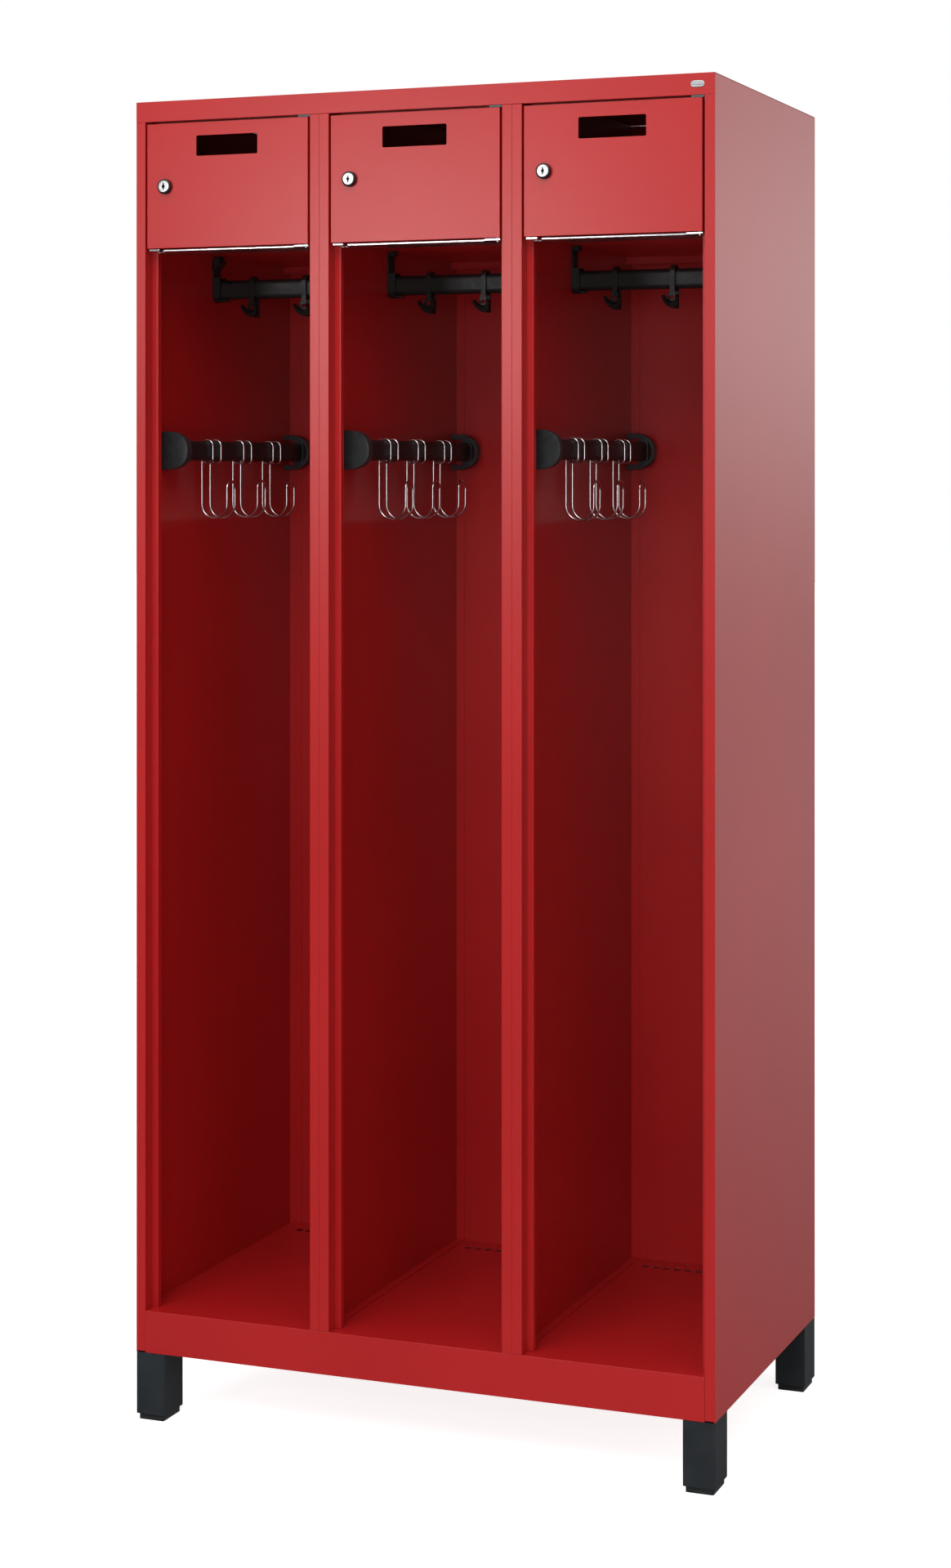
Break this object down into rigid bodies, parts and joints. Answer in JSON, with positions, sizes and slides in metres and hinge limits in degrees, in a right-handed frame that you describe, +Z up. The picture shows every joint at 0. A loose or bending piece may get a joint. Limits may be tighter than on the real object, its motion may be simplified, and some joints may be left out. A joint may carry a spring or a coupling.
{
  "type": "school locker",
  "caption": "Free-standing sheet-steel wardrobe locker: open bays with coat hooks and clothes rails under small lockable doors, on short legs.",
  "frame": {"origin": "on the ground, in the middle of the overall footprint", "axes": "+Z up, +X to the right seen from the front, +Y from the doors towards the back; the doors face -Y"},
  "size_m": [0.9, 0.507, 1.95],
  "materials": {
    "red_paint": "fine powder coat, satin",
    "anthracite_paint": "powder coat, satin",
    "black_plastic": "moulded, fine texture",
    "grey_plastic": "moulded",
    "glide_plastic": "moulded",
    "chrome": "polished",
    "bright_steel": "bright zinc plated"
  },
  "bodies": {
    "frame": {"side_panel_left": "red_paint", "side_panel_right": "red_paint", "top_panel": "red_paint", "floor_panel": "red_paint", "back_panel": "red_paint", "partition_1": "red_paint", "partition_2": "red_paint", "bay1_shelf": "red_paint", "bay1_hinge_pin": "grey_plastic", "bay1_clothes_rail": "black_plastic", "bay1_rail_bracket_left": "black_plastic", "bay1_rail_bracket_right": "black_plastic", "bay1_coat_bar": "black_plastic", "bay1_bar_bracket_front": "black_plastic", "bay1_bar_bracket_rear": "black_plastic", "bay2_shelf": "red_paint", "bay2_hinge_pin": "grey_plastic", "bay2_clothes_rail": "black_plastic", "bay2_rail_bracket_left": "black_plastic", "bay2_rail_bracket_right": "black_plastic", "bay2_coat_bar": "black_plastic", "bay2_bar_bracket_front": "black_plastic", "bay2_bar_bracket_rear": "black_plastic", "bay3_shelf": "red_paint", "bay3_hinge_pin": "grey_plastic", "bay3_clothes_rail": "black_plastic", "bay3_rail_bracket_left": "black_plastic", "bay3_rail_bracket_right": "black_plastic", "bay3_coat_bar": "black_plastic", "bay3_bar_bracket_front": "black_plastic", "bay3_bar_bracket_rear": "black_plastic", "leg_front_left": "anthracite_paint", "leg_front_right": "anthracite_paint", "leg_rear_left": "anthracite_paint", "leg_rear_right": "anthracite_paint", "badge_plate": "bright_steel"},
    "door_1": {"bay1_door": "red_paint", "bay1_lock_housing": "black_plastic"},
    "lock_1": {"bay1_lock_cylinder": "chrome"},
    "slider_1_1": {"bay1_sliding_hook_1": "black_plastic"},
    "slider_1_2": {"bay1_sliding_hook_2": "black_plastic"},
    "hook_1_1": {"bay1_wire_hook_1": "chrome"},
    "hook_1_2": {"bay1_wire_hook_2": "chrome"},
    "hook_1_3": {"bay1_wire_hook_3": "chrome"},
    "door_2": {"bay2_door": "red_paint", "bay2_lock_housing": "black_plastic"},
    "lock_2": {"bay2_lock_cylinder": "chrome"},
    "slider_2_1": {"bay2_sliding_hook_1": "black_plastic"},
    "slider_2_2": {"bay2_sliding_hook_2": "black_plastic"},
    "hook_2_1": {"bay2_wire_hook_1": "chrome"},
    "hook_2_2": {"bay2_wire_hook_2": "chrome"},
    "hook_2_3": {"bay2_wire_hook_3": "chrome"},
    "door_3": {"bay3_door": "red_paint", "bay3_lock_housing": "black_plastic"},
    "lock_3": {"bay3_lock_cylinder": "chrome"},
    "slider_3_1": {"bay3_sliding_hook_1": "black_plastic"},
    "slider_3_2": {"bay3_sliding_hook_2": "black_plastic"},
    "hook_3_1": {"bay3_wire_hook_1": "chrome"},
    "hook_3_2": {"bay3_wire_hook_2": "chrome"},
    "hook_3_3": {"bay3_wire_hook_3": "chrome"}
  },
  "joints": [
    {"name": "door_1_hinge", "type": "hinge", "parent": "frame", "child": "door_1", "pos_m": [-0.173, -0.2425, 1.8235], "axis": [0, 0, 1], "range_deg": [0, 110]},
    {"name": "lock_1_turn", "type": "hinge", "parent": "door_1", "child": "lock_1", "pos_m": [-0.401, -0.2465, 1.8235], "axis": [0, 1, 0], "range_deg": [0, 90]},
    {"name": "slider_1_1_slide", "type": "slide", "parent": "frame", "child": "slider_1_1", "axis": [1, 0, 0], "range_m": [-0.03, 0.03]},
    {"name": "slider_1_2_slide", "type": "slide", "parent": "frame", "child": "slider_1_2", "axis": [1, 0, 0], "range_m": [-0.03, 0.09]},
    {"name": "hook_1_1_slide", "type": "slide", "parent": "frame", "child": "hook_1_1", "axis": [0, 1, 0], "range_m": [-0.07, 0.033]},
    {"name": "hook_1_2_slide", "type": "slide", "parent": "frame", "child": "hook_1_2", "axis": [0, 1, 0], "range_m": [-0.033, 0.033]},
    {"name": "hook_1_3_slide", "type": "slide", "parent": "frame", "child": "hook_1_3", "axis": [0, 1, 0], "range_m": [-0.033, 0.07]},
    {"name": "door_2_hinge", "type": "hinge", "parent": "frame", "child": "door_2", "pos_m": [0.127, -0.2425, 1.8235], "axis": [0, 0, 1], "range_deg": [0, 110]},
    {"name": "lock_2_turn", "type": "hinge", "parent": "door_2", "child": "lock_2", "pos_m": [-0.101, -0.2465, 1.8235], "axis": [0, 1, 0], "range_deg": [0, 90]},
    {"name": "slider_2_1_slide", "type": "slide", "parent": "frame", "child": "slider_2_1", "axis": [1, 0, 0], "range_m": [-0.03, 0.03]},
    {"name": "slider_2_2_slide", "type": "slide", "parent": "frame", "child": "slider_2_2", "axis": [1, 0, 0], "range_m": [-0.03, 0.09]},
    {"name": "hook_2_1_slide", "type": "slide", "parent": "frame", "child": "hook_2_1", "axis": [0, 1, 0], "range_m": [-0.07, 0.033]},
    {"name": "hook_2_2_slide", "type": "slide", "parent": "frame", "child": "hook_2_2", "axis": [0, 1, 0], "range_m": [-0.033, 0.033]},
    {"name": "hook_2_3_slide", "type": "slide", "parent": "frame", "child": "hook_2_3", "axis": [0, 1, 0], "range_m": [-0.033, 0.07]},
    {"name": "door_3_hinge", "type": "hinge", "parent": "frame", "child": "door_3", "pos_m": [0.427, -0.2425, 1.8235], "axis": [0, 0, 1], "range_deg": [0, 110]},
    {"name": "lock_3_turn", "type": "hinge", "parent": "door_3", "child": "lock_3", "pos_m": [0.199, -0.2465, 1.8235], "axis": [0, 1, 0], "range_deg": [0, 90]},
    {"name": "slider_3_1_slide", "type": "slide", "parent": "frame", "child": "slider_3_1", "axis": [1, 0, 0], "range_m": [-0.03, 0.03]},
    {"name": "slider_3_2_slide", "type": "slide", "parent": "frame", "child": "slider_3_2", "axis": [1, 0, 0], "range_m": [-0.03, 0.09]},
    {"name": "hook_3_1_slide", "type": "slide", "parent": "frame", "child": "hook_3_1", "axis": [0, 1, 0], "range_m": [-0.07, 0.033]},
    {"name": "hook_3_2_slide", "type": "slide", "parent": "frame", "child": "hook_3_2", "axis": [0, 1, 0], "range_m": [-0.033, 0.033]},
    {"name": "hook_3_3_slide", "type": "slide", "parent": "frame", "child": "hook_3_3", "axis": [0, 1, 0], "range_m": [-0.033, 0.07]}
  ]
}
